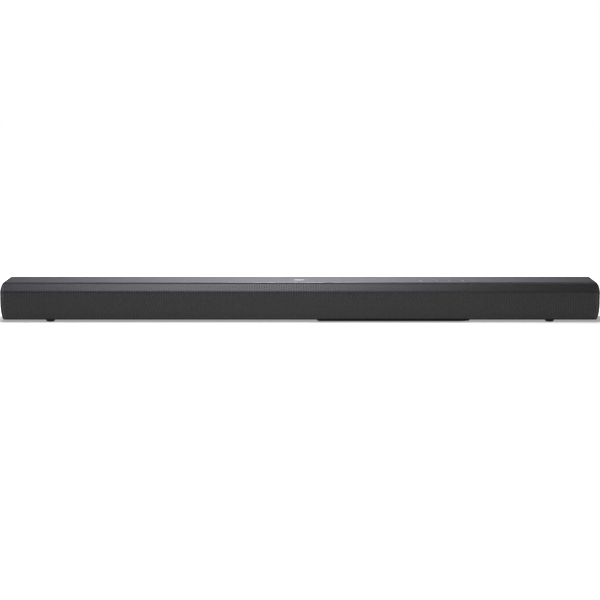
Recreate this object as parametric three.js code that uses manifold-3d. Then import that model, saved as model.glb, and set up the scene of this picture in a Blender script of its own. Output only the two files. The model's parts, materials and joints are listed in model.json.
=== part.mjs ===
// A slim one-piece television soundbar, as the separate pieces it comes apart into.
// Millimetres. +X runs along the bar, -Y is the front, +Z is up.
// The origin is the middle of the footprint, on the surface that the feet stand on.
import * as THREE from 'three';
import { mergeVertices } from 'three/addons/utils/BufferGeometryUtils.js';
import Module from 'manifold-3d';

const wasm = await Module();
wasm.setup();

// ---------------------------------------------------------------- driving dimensions

const LENGTH = 900;
const DEPTH = 86;
const HEIGHT = 60;
const HALF = LENGTH / 2;
const FRONT = -DEPTH / 2;
const BACK = DEPTH / 2;
const WALL = 2.5; // moulded wall thickness
const GAP = 0.3; // clearance between neighbouring pieces
const BODY_BOTTOM = 4.4; // underside of the casing, held up by the feet
const TOP_UNDERSIDE = HEIGHT - WALL;
const SHELL_TOP = TOP_UNDERSIDE - GAP;
const FLOOR_TOP = BODY_BOTTOM + WALL;

// The front is upright as far as a crease, then leans back to the top cover.
const CREASE_HEIGHT = 46.8;
const BEVEL_DEPTH = 8;
const BEVEL_RISE = 10.5;
const GRILLE_SHEET = 1;
const LIP_TOP = 6.1; // the cabinet's floor shows as a narrow lip below the grille
const BAFFLE_SETBACK = 4.5; // baffle face behind the grille face

// Seen from the front, each end is rounded off by two quarter ellipses.
const END_UPPER = { width: 6.5, height: 14, centre: CREASE_HEIGHT };
const END_LOWER = { width: 7, height: 28, centre: 31 };
const END_SEGMENTS = 10; // in each quarter ellipse
const END_WALL_X = 438; // inner face of the cabinet's own end walls

// The electronics bay lies between two partitions, the loudspeaker chambers outside them.
const PARTITIONS = [-50, 262.75];
const TRAY = { left: 25.4, right: 254.7, bottom: 2.2, back: 37 };
const BAY_OPENING = { left: 40, right: 242, front: -27, back: 28 };

const WOOFER_X = 325;
const WOOFER_HEIGHT = 25.7;
const TWEETER_X = 414;
const TWEETER_HEIGHT = 26;
const PORT_X = 400;
const REAR_INSERT = { inner: 330, outer: 424, low: 12.5, high: 49.5 };
const PORT_HEIGHT = 31;
const PORT_BORE = 13;

const FOOT_X = 377;
const FOOT_Y = 27;
const CASE_SCREWS = [[-376, -10], [376, -10], [-285, 34], [285, 34]];
const CASE_SCREW_SEAT = 41; // they sit deep in tall bosses, and reach up into the top cover
const TRAY_SCREWS = [[33, -32.4], [248, -32.4], [33, 32.5], [248, 32.5]];

const KEYS = { power_key: 183, volume_down_key: 207.5, volume_up_key: 226, source_key: 246 };
const KEY_Y = -11;
const KEY = { width: 15.4, depth: 8.4, corner: 1.7 };
const KEY_BOARD_TOP = 48.6;
const SWITCH_HEIGHT = 3.4;

const WALL_PLATE_X = 350;
const WALL_PLATE = { width: 24, height: 28, centre: 31, thickness: 1.5 };
const TERMINAL_PANEL = { left: 48, right: 224, low: 10, high: 44 };
const SOCKET_RECESS = { left: 56, right: 160, low: 12, high: 36, depth: 5 };
const INLET = { x: 205, z: 24, width: 24, height: 16 };
const BOARD_BOTTOM = 14;
const BOARD_SHEET = 1.6;
const BOARD_TOP = BOARD_BOTTOM + BOARD_SHEET;

// ---------------------------------------------------------------- materials

const finishes = {
  grille: { color: 0x3a3a3c, roughness: 0.55, metalness: 0.35 },
  cover: { color: 0x3b3b3e, roughness: 0.5, metalness: 0 },
  cabinet: { color: 0x1c1c1e, roughness: 0.7, metalness: 0 },
  cap: { color: 0x151516, roughness: 0.35, metalness: 0 },
  key: { color: 0x39393c, roughness: 0.5, metalness: 0 },
  badge: { color: 0xa8a9ad, roughness: 0.35, metalness: 0.8 },
  rubber: { color: 0x121212, roughness: 0.9, metalness: 0 },
  steel: { color: 0x8d8f93, roughness: 0.35, metalness: 1 },
  screw: { color: 0x2a2a2c, roughness: 0.4, metalness: 0.9 },
  board: { color: 0x14452c, roughness: 0.6, metalness: 0 },
  socket: { color: 0x101011, roughness: 0.5, metalness: 0 },
  smoked: { color: 0x17171a, roughness: 0.2, metalness: 0 },
  ferrite: { color: 0x2c2a2a, roughness: 0.7, metalness: 0 },
  aluminium: { color: 0xa6a8ab, roughness: 0.4, metalness: 1 },
  paper: { color: 0x1d1c1b, roughness: 0.9, metalness: 0 },
  cloth: { color: 0xb08a4e, roughness: 0.95, metalness: 0 },
  silk: { color: 0x202124, roughness: 0.8, metalness: 0 },
  cable: { color: 0x0d0d0d, roughness: 0.6, metalness: 0 },
};

const soundbar = new THREE.Group();

function add(name, piece, finish, parent = soundbar) {
  const mesh = new THREE.Mesh(geometryOf(piece), new THREE.MeshStandardMaterial(finishes[finish]));
  mesh.name = name;
  parent.add(mesh);
}

// ---------------------------------------------------------------- solids

function solid(geometry) {
  const bare = new THREE.BufferGeometry();
  bare.setAttribute('position', geometry.getAttribute('position'));
  bare.setIndex(geometry.index);
  const welded = mergeVertices(bare, 1e-4);
  const points = welded.getAttribute('position');
  const corners = welded.index.array;
  const kept = [];
  let sixVolumes = 0;
  const [a, b, c] = [new THREE.Vector3(), new THREE.Vector3(), new THREE.Vector3()];
  for (let i = 0; i < corners.length; i += 3) {
    const [p, q, r] = [corners[i], corners[i + 1], corners[i + 2]];
    if (p === q || q === r || r === p) continue;
    kept.push([p, q, r]);
    a.fromBufferAttribute(points, p);
    b.fromBufferAttribute(points, q);
    c.fromBufferAttribute(points, r);
    sixVolumes += a.dot(b.cross(c));
  }
  const outward = sixVolumes > 0 ? kept : kept.map((triangle) => triangle.reverse());
  return new wasm.Manifold(new wasm.Mesh({
    numProp: 3,
    vertProperties: Float32Array.from(points.array),
    triVerts: Uint32Array.from(outward.flat()),
  }));
}

function geometryOf(piece) {
  const mesh = piece.getMesh();
  const geometry = new THREE.BufferGeometry();
  geometry.setAttribute('position', new THREE.BufferAttribute(mesh.vertProperties, 3));
  geometry.setIndex(new THREE.BufferAttribute(mesh.triVerts, 1));
  return geometry;
}

function join(...pieces) {
  return pieces.reduce((whole, piece) => whole.add(piece));
}

function cut(piece, ...tools) {
  return tools.reduce((rest, tool) => rest.subtract(tool), piece);
}

// Extrudes an outline along one axis. The outline's own axes are Y, Z for a prism along X,
// X, Z for one along Y, and X, Y for one along Z. Each of its arcs gets that many segments.
function prism(outline, axis, from, to, segments = 4) {
  const geometry = new THREE.ExtrudeGeometry(outline, {
    depth: to - from,
    bevelEnabled: false,
    curveSegments: segments / 2, // three.js doubles it on an arc
  });
  geometry.translate(0, 0, axis === 'y' ? -to : from);
  const turn = new THREE.Matrix4();
  if (axis === 'x') turn.set(0, 0, 1, 0, 1, 0, 0, 0, 0, 1, 0, 0, 0, 0, 0, 1);
  if (axis === 'y') turn.set(1, 0, 0, 0, 0, 0, -1, 0, 0, 1, 0, 0, 0, 0, 0, 1);
  geometry.applyMatrix4(turn);
  return solid(geometry);
}

function box(x0, x1, y0, y1, z0, z1) {
  const geometry = new THREE.BoxGeometry(x1 - x0, y1 - y0, z1 - z0);
  geometry.translate((x0 + x1) / 2, (y0 + y1) / 2, (z0 + z1) / 2);
  return solid(geometry);
}

function rod(u, v, radius, axis, from, to, segments = 8) {
  const outline = new THREE.Shape().absarc(u, v, radius, 0, 2 * Math.PI, false);
  return prism(outline, axis, from, to, segments);
}

// Turns a profile of [radius, distance] points about the Y axis, or about Z.
function turned(profile, axis, segments = 12) {
  const geometry = new THREE.LatheGeometry(profile.map(([r, y]) => new THREE.Vector2(r, y)), segments);
  if (axis === 'z') geometry.rotateX(Math.PI / 2);
  return solid(geometry);
}

// Skins a run of rings, each a list of the same number of points, and closes the last to the first.
function ringSkin(rings) {
  const count = rings[0].length;
  const index = [];
  rings.forEach((ring, i) => {
    const next = ((i + 1) % rings.length) * count;
    ring.forEach((point, j) => {
      const k = (j + 1) % count;
      index.push(i * count + j, i * count + k, next + k, i * count + j, next + k, next + j);
    });
  });
  const geometry = new THREE.BufferGeometry();
  geometry.setAttribute('position', new THREE.Float32BufferAttribute(rings.flat(2), 3));
  geometry.setIndex(index);
  return solid(geometry);
}

// ---------------------------------------------------------------- outlines

function unit(u, v) {
  const length = Math.hypot(u, v);
  return [u / length, v / length];
}

// A closed outline through [u, v, radius] corners, each rounded by its radius.
function roundedOutline(corners) {
  const shape = new THREE.Shape();
  corners.forEach(([u, v, radius = 0], i) => {
    const [pu, pv] = corners.at(i - 1);
    const [nu, nv] = corners[(i + 1) % corners.length];
    if (radius === 0) {
      if (i === 0) shape.moveTo(u, v);
      else shape.lineTo(u, v);
      return;
    }
    const back = unit(pu - u, pv - v);
    const ahead = unit(nu - u, nv - v);
    const half = Math.acos(back[0] * ahead[0] + back[1] * ahead[1]) / 2;
    const middle = unit(back[0] + ahead[0], back[1] + ahead[1]);
    const reach = radius / Math.sin(half);
    const run = radius / Math.tan(half);
    const [cu, cv] = [u + middle[0] * reach, v + middle[1] * reach];
    const start = Math.atan2(v + back[1] * run - cv, u + back[0] * run - cu);
    const end = Math.atan2(v + ahead[1] * run - cv, u + ahead[0] * run - cu);
    shape.absarc(cu, cv, radius, start, end, back[0] * ahead[1] - back[1] * ahead[0] > 0);
  });
  return shape;
}

// The section of a folded sheet: [u, v, outer radius] bends, with the sheet on their left.
function foldedSheet(path, thickness) {
  const leftOf = path.slice(1).map(([u, v], i) => {
    const [along, up] = unit(u - path[i][0], v - path[i][1]);
    return [-up, along];
  });
  const inner = path.map(([u, v, radius = 0], i) => {
    const before = leftOf[Math.max(i - 1, 0)];
    const after = leftOf[Math.min(i, leftOf.length - 1)];
    const scale = thickness / (1 + before[0] * after[0] + before[1] * after[1]);
    const corner = [u + (before[0] + after[0]) * scale, v + (before[1] + after[1]) * scale];
    return [...corner, Math.max(radius - thickness, 0)];
  });
  return roundedOutline([...path, ...inner.reverse()]);
}

function rectangle(u0, v0, u1, v1, radius = 0) {
  return roundedOutline([[u0, v0, radius], [u1, v0, radius], [u1, v1, radius], [u0, v1, radius]]);
}

function racetrack(u, v, width, height) {
  return rectangle(u - width / 2, v - height / 2, u + width / 2, v + height / 2, height / 2 - 0.01);
}

// A racetrack ring in the X-Z plane, as points for a ring skin.
function racetrackRing(width, height, y, count = 16) {
  const radius = height / 2;
  const straight = width / 2 - radius;
  return Array.from({ length: count }, (_, i) => {
    const angle = ((i + 0.5) * 2 * Math.PI) / count - Math.PI / 2;
    const side = i < count / 2 ? straight : -straight;
    return [side + radius * Math.cos(angle), y, radius * Math.sin(angle)];
  });
}

// The end-to-end outline seen from the front, drawn in by a margin at both ends.
function endOutline(margin) {
  const shape = new THREE.Shape();
  const quarter = Math.PI / 2;
  const corner = ({ width, height, centre }, side, start) => {
    const x = side * (HALF - width - margin);
    shape.absellipse(x, centre, width, height, start, start + quarter, false, 0);
  };
  corner(END_LOWER, 1, -quarter);
  corner(END_UPPER, 1, 0);
  corner(END_UPPER, -1, quarter);
  corner(END_LOWER, -1, 2 * quarter);
  return shape;
}

// Where the front of the casing lies once it is drawn inwards by a setback.
const [bevelY, bevelZ] = unit(BEVEL_DEPTH, BEVEL_RISE);
const creaseDrop = bevelY / (1 + bevelZ);

function creaseBehind(setback) {
  return [FRONT + setback, CREASE_HEIGHT - creaseDrop * setback];
}

function bevelAt(setback, height) {
  const [y, z] = creaseBehind(setback);
  return [y + (height - z) * (bevelY / bevelZ), height];
}

const insideEnds = prism(endOutline(WALL + GAP), 'y', FRONT - 1, BACK + 1, END_SEGMENTS);

// ---------------------------------------------------------------- casing

function sideProfile() {
  return roundedOutline([
    [FRONT, BODY_BOTTOM, 2],
    [BACK, BODY_BOTTOM, 2],
    [BACK, HEIGHT, 0.6],
    [FRONT + BEVEL_DEPTH, HEIGHT, 2.2],
    [FRONT + BEVEL_DEPTH, CREASE_HEIGHT + BEVEL_RISE, 0],
    [FRONT, CREASE_HEIGHT, 6],
  ]);
}

// A cap is the outermost slice of the casing, with pegs into the cabinet's end wall.
function endCap(side) {
  const ring = prism(endOutline(0), 'y', FRONT - 1, BACK + 1, END_SEGMENTS)
    .subtract(prism(endOutline(WALL), 'y', FRONT - 2, BACK + 2, END_SEGMENTS));
  const slice = prism(sideProfile(), 'x', side > 0 ? HALF - 12 : -HALF, side > 0 ? HALF : 12 - HALF);
  const pegSpan = side > 0 ? [END_WALL_X - 2, HALF - 1.5] : [1.5 - HALF, 2 - END_WALL_X];
  const pegs = [[-14, 38], [26, 38], [6, 20]].map(([y, z]) => rod(y, z, 2.5, 'x', ...pegSpan));
  return join(slice.intersect(ring), ...pegs);
}

function pegHoles(side) {
  const span = side > 0 ? [END_WALL_X - 2, END_WALL_X + 6] : [-END_WALL_X - 6, 2 - END_WALL_X];
  return [[-14, 38], [26, 38], [6, 20]].map(([y, z]) => rod(y, z, 2.5 + GAP, 'x', ...span));
}

function topCover() {
  const edge = FRONT + BEVEL_DEPTH;
  const plate = prism(rectangleWithNose(edge), 'x', -HALF, HALF).intersect(insideEnds);
  const inside = BACK - WALL - GAP;
  const ribEnds = [-END_WALL_X, PARTITIONS[0], PARTITIONS[1], END_WALL_X];
  const ribs = ribEnds.slice(1).map((end, i) => box(
    ribEnds[i] + WALL + 1, end - 1, inside - 1.8, inside, SHELL_TOP - 4, HEIGHT - 1));
  const posts = CASE_SCREWS.map(([x, y]) => rod(x, y, 3.5, 'z', CASE_SCREW_SEAT + 7, HEIGHT - 1));
  const holes = CASE_SCREWS.map(([x, y]) => rod(x, y, 1.7, 'z', CASE_SCREW_SEAT, SHELL_TOP, 6));
  const boardPosts = [168, 258.5].map((x) => rod(x, KEY_Y, 2.5, 'z', KEY_BOARD_TOP + GAP, HEIGHT - 1));
  const keyHoles = Object.values(KEYS).map((x) => keyPrism(x, GAP, SHELL_TOP - 1, HEIGHT + 1));
  const badgeSeat = prism(badgeOutline(GAP), 'z', HEIGHT - 0.8, HEIGHT + 1);
  return cut(join(plate, ...ribs, ...posts, ...boardPosts), ...holes, ...keyHoles, badgeSeat);
}

function rectangleWithNose(edge) {
  return roundedOutline([
    [edge, TOP_UNDERSIDE], [BACK, TOP_UNDERSIDE], [BACK, HEIGHT, 0.6], [edge, HEIGHT, 2.2],
  ]);
}

function badgeOutline(margin) {
  return rectangle(-9 - margin, -5 - margin, 6 + margin, 2 + margin, 2 + margin);
}

function keyPrism(x, margin, low, high) {
  const [w, d] = [KEY.width / 2 + margin, KEY.depth / 2 + margin];
  return prism(rectangle(x - w, KEY_Y - d, x + w, KEY_Y + d, KEY.corner + margin), 'z', low, high, 3);
}

// Section of a wall that fills the cabinet from floor to cover behind the baffle.
function crossWall() {
  const setback = BAFFLE_SETBACK + WALL + GAP;
  const back = BACK - 1;
  return roundedOutline([
    [FRONT + setback, FLOOR_TOP - 1], [back, FLOOR_TOP - 1], [back, SHELL_TOP],
    bevelAt(setback, SHELL_TOP), creaseBehind(setback),
  ]);
}

function rearCabinet() {
  const behindGrille = FRONT + GRILLE_SHEET + GAP;
  const shell = prism(roundedOutline([
    [FRONT, BODY_BOTTOM, 1.2], [BACK, BODY_BOTTOM, 2], [BACK, SHELL_TOP], [BACK - WALL, SHELL_TOP],
    [BACK - WALL, FLOOR_TOP], [behindGrille, FLOOR_TOP], [behindGrille, LIP_TOP], [FRONT, LIP_TOP],
  ]), 'x', -HALF, HALF).intersect(insideEnds);
  const endWalls = [END_WALL_X, -END_WALL_X - WALL].map((x) => prism(crossWall(), 'x', x, x + WALL));
  const partitions = PARTITIONS.map((x) => prism(crossWall(), 'x', x, x + WALL));
  const caseBosses = CASE_SCREWS.map(([x, y]) => rod(
    x, y, 4.8, 'z', FLOOR_TOP - 1, CASE_SCREW_SEAT + 7 - GAP));
  const trayBosses = TRAY_SCREWS.map(([x, y]) => rod(x, y, 3, 'z', FLOOR_TOP - 1, 14));
  return cut(
    join(shell, ...endWalls, ...partitions, ...caseBosses, ...trayBosses),
    ...[-1, 1].map((side) => prism(rearInsertOutline(side, GAP), 'y', 38, 45, 3)),
    prism(terminalPanelOutline(GAP), 'y', 38, 45, 3),
    ...CASE_SCREWS.flatMap(([x, y]) => [
      rod(x, y, 2.9, 'z', 3, CASE_SCREW_SEAT), rod(x, y, 1.7, 'z', 3, CASE_SCREW_SEAT + 8, 6),
    ]),
    ...TRAY_SCREWS.map(([x, y]) => rod(x, y, 1.6, 'z', 3, 15, 6)),
    ...footPlaces().map(([x, y]) => rod(x, y, 3 + GAP, 'z', 3, 8)),
    ...pegHoles(1),
    ...pegHoles(-1),
    prism(rectangle(BAY_OPENING.left, BAY_OPENING.front, BAY_OPENING.right, BAY_OPENING.back, 3),
      'z', BODY_BOTTOM - 1, FLOOR_TOP + 1, 3),
    ...[[4, 16], [10, 22]].map(([y0, y1], i) => box(
      PARTITIONS[i] - 1, PARTITIONS[i] + WALL + 1, y0, y1, FLOOR_TOP, FLOOR_TOP + 9)),
  );
}

function wallPlateOutline(x, margin) {
  const [w, h] = [WALL_PLATE.width / 2 + margin, WALL_PLATE.height / 2 + margin];
  return rectangle(x - w, WALL_PLATE.centre - h, x + w, WALL_PLATE.centre + h, Math.max(1.5 + margin, 0));
}

function rearInsertOutline(side, margin) {
  const { inner, outer, low, high } = REAR_INSERT;
  const [left, right] = side > 0 ? [inner, outer] : [-outer, -inner];
  return rectangle(left - margin, low - margin, right + margin, high + margin, 4 + margin);
}

// A plate that fills an opening in the back wall, with a rim that bears on the inside of the wall.
function rimmedPlate(outline) {
  const wall = BACK - WALL;
  return cut(
    join(
      prism(outline(0), 'y', wall - GAP - 1.5, BACK, 3),
      prism(outline(2.5), 'y', wall - GAP - 1.5, wall - GAP, 3),
    ),
    prism(outline(-1.5), 'y', wall - GAP - 2, wall, 3),
  );
}

// One moulding for the back of each chamber: the flared port tube, and a closed cup behind the
// keyhole plate that clears the head of the wall screw.
function rearInsert(side) {
  const x = side * WALL_PLATE_X;
  const seat = BACK - WALL_PLATE.thickness - GAP;
  const floor = BACK - 11.5;
  const bore = turned([
    [0, -5], [PORT_BORE, -5], [PORT_BORE, 37], [13.3, 39.5], [14.2, 41.6], [15.6, BACK], [15.6, 44], [0, 44],
  ], 'y', 16);
  return cut(
    join(
      rimmedPlate((margin) => rearInsertOutline(side, margin)),
      rod(side * PORT_X, PORT_HEIGHT, PORT_BORE + 2, 'y', -4, BACK - 1, 16),
      prism(wallPlateOutline(x, -1.5), 'y', floor, seat, 2),
      prism(wallPlateOutline(x, 1.5), 'y', BACK - WALL - GAP - 1.5, BACK - WALL + GAP, 2),
    ),
    placed(bore, side * PORT_X, 0, PORT_HEIGHT),
    prism(wallPlateOutline(x, -3), 'y', floor + 1.5, BACK + 1, 2),
    prism(wallPlateOutline(x, GAP), 'y', seat, BACK + 1, 2),
  );
}

function wallPlate(x) {
  const plate = prism(wallPlateOutline(x, 0), 'y', BACK - WALL_PLATE.thickness, BACK, 2);
  const entry = WALL_PLATE.centre - 5;
  return cut(
    plate,
    rod(x, entry, 4.5, 'y', BACK - 3, BACK + 1, 12),
    prism(rectangle(x - 2.3, entry, x + 2.3, entry + 13, 2.2), 'y', BACK - 3, BACK + 1, 3),
  );
}

function frontBaffle() {
  const crease = creaseBehind(BAFFLE_SETBACK);
  const sheet = prism(foldedSheet([
    bevelAt(BAFFLE_SETBACK, SHELL_TOP), [...crease, 3], [crease[0], FLOOR_TOP + GAP],
  ], WALL), 'x', -HALF, HALF, 3).intersect(insideEnds);
  const [low, high] = [crease[0] - 1, crease[0] + WALL + 1];
  return cut(
    sheet,
    ...[-1, 1].map((side) => prism(racetrack(side * WOOFER_X, WOOFER_HEIGHT, 92, 33), 'y', low, high)),
    ...[-1, 1].map((side) => rod(side * TWEETER_X, TWEETER_HEIGHT, 12, 'y', low, high, 16)),
    box(-12.6, 12.6, low, high, 35.6, 40.4),
    box(17, 26, low, high, 33.5, 42.5),
  );
}

function frontGrille() {
  const sheet = foldedSheet([
    bevelAt(0, CREASE_HEIGHT + BEVEL_RISE - GAP), [FRONT, CREASE_HEIGHT, 6], [FRONT, LIP_TOP + GAP],
  ], GRILLE_SHEET);
  return prism(sheet, 'x', -HALF, HALF).intersect(insideEnds);
}

// The raised tray under the bay: a steep left end, a gently ramped right end, vents, and an upstand
// that locates it in the cabinet's opening.
function electronicsTray() {
  const top = BODY_BOTTOM - GAP;
  const { left, right, bottom, back } = TRAY;
  const plate = prism(roundedOutline([
    [left, top], [left + 2.2, bottom], [right - 13, bottom], [right - 1.1, bottom + 0.8], [right, top],
  ]), 'y', FRONT, back);
  const o = BAY_OPENING;
  const upstand = cut(
    prism(rectangle(o.left + GAP, o.front + GAP, o.right - GAP, o.back - GAP, 2.7), 'z', top - 1, 8, 3),
    prism(rectangle(o.left + 1.8, o.front + 1.8, o.right - 1.8, o.back - 1.8, 1.2), 'z', top, 9, 3),
  );
  const standoffs = boardPosts().map(([x, y]) => rod(x, y, 3, 'z', top - 1, BOARD_BOTTOM - GAP, 8));
  const vents = Array.from({ length: 8 }, (_, i) => {
    const x = 100 + i * 9;
    return box(x - 1.5, x + 1.5, -16, 12, 0, 5);
  });
  const seats = TRAY_SCREWS.map(([x, y]) => turnedAt(x, y, [
    [0, 1], [3.2, 1], [3.2, 2.6], [1.7, 4], [1.7, 5], [0, 5],
  ], 8));
  return cut(join(plate, upstand, ...standoffs), ...vents, ...seats);
}

function turnedAt(x, y, profile, segments) {
  return turned(profile, 'z', segments).translate([x, y, 0]);
}

function boardPosts() {
  return [[54, -21], [160, -21], [54, 18], [160, 18], [177, -21], [231, -21], [177, 18], [231, 18]];
}

function footPlaces() {
  return [[-FOOT_X, -FOOT_Y], [FOOT_X, -FOOT_Y], [-FOOT_X, FOOT_Y], [FOOT_X, FOOT_Y]];
}

function foot() {
  const seat = BODY_BOTTOM - GAP;
  return turned([
    [0, 0], [5.2, 0], [5.8, 0.5], [8.2, seat - 0.6], [8.6, seat], [3, seat], [3, FLOOR_TOP], [0, FLOOR_TOP],
  ], 'z');
}

// ---------------------------------------------------------------- fasteners

function crossRecess(reach, depth) {
  return join(
    box(-reach, reach, -0.4, 0.4, -1, depth),
    box(-0.4, 0.4, -reach, reach, -1, depth),
  );
}

function caseScrew() {
  const screw = turned([[0, 0], [2.1, 0], [2.5, 0.5], [2.5, 2.2], [1.3, 2.2], [1.3, 17], [0, 17]], 'z', 8);
  return screw.subtract(crossRecess(1.5, 1.2));
}

function trayScrew() {
  const screw = turned([[0, 0], [2.6, 0], [1.2, 1.4], [1.2, 10], [0, 10]], 'z', 8);
  return screw.subtract(crossRecess(1.7, 0.8));
}

// ---------------------------------------------------------------- keys and lights

// Cap, retaining flange and stem in one moulding.
function key() {
  const flangeTop = SHELL_TOP;
  const [w, d] = [KEY.width / 2 + 1, KEY.depth / 2 + 1];
  const flange = prism(rectangle(-w, -d, w, d, 2), 'z', flangeTop - 1.4, flangeTop, 3);
  const cap = keyPrism(0, 0, flangeTop - 0.5, HEIGHT).translate([0, -KEY_Y, 0]);
  const stem = rod(0, 0, 1.5, 'z', KEY_BOARD_TOP + SWITCH_HEIGHT + 0.7, flangeTop - 1, 8);
  return join(cap, flange, stem);
}

function keyBoard() {
  const sheet = box(164, 261, KEY_Y - 7, KEY_Y + 7, KEY_BOARD_TOP - BOARD_SHEET, KEY_BOARD_TOP);
  const switches = Object.values(KEYS).map((x) => join(
    box(x - 3, x + 3, KEY_Y - 3, KEY_Y + 3, KEY_BOARD_TOP - 0.5, KEY_BOARD_TOP + SWITCH_HEIGHT - 0.8),
    rod(x, KEY_Y, 1.7, 'z', KEY_BOARD_TOP, KEY_BOARD_TOP + SWITCH_HEIGHT, 8),
  ));
  const plug = box(234, 240, KEY_Y - 6, KEY_Y + 3, KEY_BOARD_TOP - 5, KEY_BOARD_TOP - 1);
  return join(sheet, ...switches, plug);
}

function indicatorBoard() {
  const face = FRONT + 8.6;
  const sheet = box(-30, 34, face, face + BOARD_SHEET, 31, 46 - 0.6);
  const receiver = join(
    box(18, 25, face - 2.2, face + 0.5, 34.5, 41.5),
    turned([[0, -4.4], [1.6, -4], [2.4, -2], [0, -1]], 'y', 10).translate([21.5, face, 38]),
  );
  return join(sheet, receiver, box(-24, -12, face + 1, face + 6, 34, 40));
}

function lightGuide() {
  const face = FRONT + GRILLE_SHEET + GAP;
  return join(
    prism(rectangle(-12, 36, 12, 40, 1.9), 'y', face, FRONT + 7.5, 3),
    box(-14, 14, FRONT + BAFFLE_SETBACK + WALL + GAP, FRONT + 8.3, 34, 42),
  );
}

// ---------------------------------------------------------------- sockets

function terminalPanelOutline(margin) {
  const { left, right, low, high } = TERMINAL_PANEL;
  return rectangle(left - margin, low - margin, right + margin, high + margin, 3 + margin);
}

function socketRecessOutline(margin) {
  const { left, right, low, high } = SOCKET_RECESS;
  return rectangle(left - margin, low - margin, right + margin, high + margin, 3 + margin);
}

function inletOutline(margin) {
  const [w, h] = [INLET.width / 2 + margin, INLET.height / 2 + margin];
  return rectangle(INLET.x - w, INLET.z - h, INLET.x + w, INLET.z + h, 2 + margin);
}

const SOCKETS = {
  video: { x: 140, width: 16, height: 7 },
  service: { x: 116, width: 14.4, height: 7 },
  optical: { x: 94, width: 11, height: 11 },
  audio: { x: 73, width: 9, height: 9 },
};
const SOCKET_HEIGHT = 23;
const SOCKET_FACE = BACK - SOCKET_RECESS.depth;

// A panel in the back wall, dished where the signal sockets are, with a hole for each socket.
function connectorPanel() {
  const dish = prism(socketRecessOutline(0), 'y', SOCKET_FACE - 2, BACK - 1, 3);
  const hollow = prism(socketRecessOutline(-1.6), 'y', SOCKET_FACE, BACK + 1, 3);
  const holes = Object.values(SOCKETS).map(({ x, width, height }) => {
    const [w, h] = [width / 2 + GAP, height / 2 + GAP];
    return box(x - w, x + w, SOCKET_FACE - 3, SOCKET_FACE + 1, SOCKET_HEIGHT - h, SOCKET_HEIGHT + h);
  });
  const inletHole = prism(inletOutline(GAP), 'y', BACK - WALL - 1, BACK + 1, 3);
  return cut(join(rimmedPlate(terminalPanelOutline), dish), hollow, inletHole, ...holes);
}

function socketBlock({ x, width, height }, depth) {
  return box(x - width / 2, x + width / 2, SOCKET_FACE - depth, SOCKET_FACE,
    SOCKET_HEIGHT - height / 2, SOCKET_HEIGHT + height / 2);
}

function videoSocket() {
  const { x } = SOCKETS.video;
  const mouth = prism(roundedOutline([
    [x - 4.8, SOCKET_HEIGHT - 2.3], [x + 4.8, SOCKET_HEIGHT - 2.3], [x + 7, SOCKET_HEIGHT - 0.6],
    [x + 7, SOCKET_HEIGHT + 2.3], [x - 7, SOCKET_HEIGHT + 2.3], [x - 7, SOCKET_HEIGHT - 0.6],
  ]), 'y', SOCKET_FACE - 10, SOCKET_FACE + 1);
  const tongue = box(x - 5.2, x + 5.2, SOCKET_FACE - 11, SOCKET_FACE - 1.5,
    SOCKET_HEIGHT, SOCKET_HEIGHT + 0.9);
  return join(cut(socketBlock(SOCKETS.video, 13), mouth), tongue);
}

function serviceSocket() {
  const { x } = SOCKETS.service;
  const mouth = box(x - 6.3, x + 6.3, SOCKET_FACE - 11, SOCKET_FACE + 1,
    SOCKET_HEIGHT - 2.6, SOCKET_HEIGHT + 2.6);
  const tongue = box(x - 5.6, x + 5.6, SOCKET_FACE - 12, SOCKET_FACE - 1.5,
    SOCKET_HEIGHT + 0.2, SOCKET_HEIGHT + 2);
  return join(cut(socketBlock(SOCKETS.service, 14), mouth), tongue);
}

// The shutter hangs on a pin across the top of the optical socket's mouth.
const SHUTTER_PIN = { y: SOCKET_FACE - 1.4, z: SOCKET_HEIGHT + 3.4, radius: 0.6 };

function opticalSocket() {
  const { x } = SOCKETS.optical;
  const mouth = box(x - 4.3, x + 4.3, SOCKET_FACE - 10.5, SOCKET_FACE + 1,
    SOCKET_HEIGHT - 4.3, SOCKET_HEIGHT + 4.3);
  const pinHole = rod(SHUTTER_PIN.y, SHUTTER_PIN.z, 0.9, 'x', x - 5.1, x + 5.1, 10);
  return cut(socketBlock(SOCKETS.optical, 13), mouth, pinHole);
}

function opticalShutter() {
  const { x } = SOCKETS.optical;
  const { y, z, radius } = SHUTTER_PIN;
  return join(
    rod(y, z, radius, 'x', x - 4.9, x + 4.9, 10),
    box(x - 3.9, x + 3.9, y - 0.45, y + 0.45, SOCKET_HEIGHT - 3.9, z),
  );
}

function audioSocket() {
  const { x } = SOCKETS.audio;
  return cut(
    socketBlock(SOCKETS.audio, 13),
    rod(x, SOCKET_HEIGHT, 1.8, 'y', SOCKET_FACE - 11, SOCKET_FACE + 1, 12),
    cut(
      rod(x, SOCKET_HEIGHT, 3.6, 'y', SOCKET_FACE - 0.5, SOCKET_FACE + 1, 12),
      rod(x, SOCKET_HEIGHT, 2.9, 'y', SOCKET_FACE - 1, SOCKET_FACE + 2, 12),
    ),
  );
}

// A two-pin figure-of-eight inlet with its flange behind the back wall.
function powerInlet() {
  const { x, z } = INLET;
  const body = prism(inletOutline(0), 'y', BACK - 16, BACK, 3);
  const flange = prism(inletOutline(2), 'y', BACK - WALL - GAP - 1.5, BACK - WALL - GAP, 3);
  const mouth = prism(racetrack(x, z, 13.4, 7.6), 'y', BACK - 13, BACK + 1, 5);
  const pins = [-1, 1].map((side) => rod(x + side * 4.3, z, 1.2, 'y', BACK - 14, BACK - 3, 8));
  return join(cut(join(body, flange), mouth), ...pins);
}

// ---------------------------------------------------------------- electronics

function capacitor(x, y, radius, height) {
  return rod(x, y, radius, 'z', BOARD_TOP - 0.5, BOARD_TOP + height, 10);
}

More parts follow.
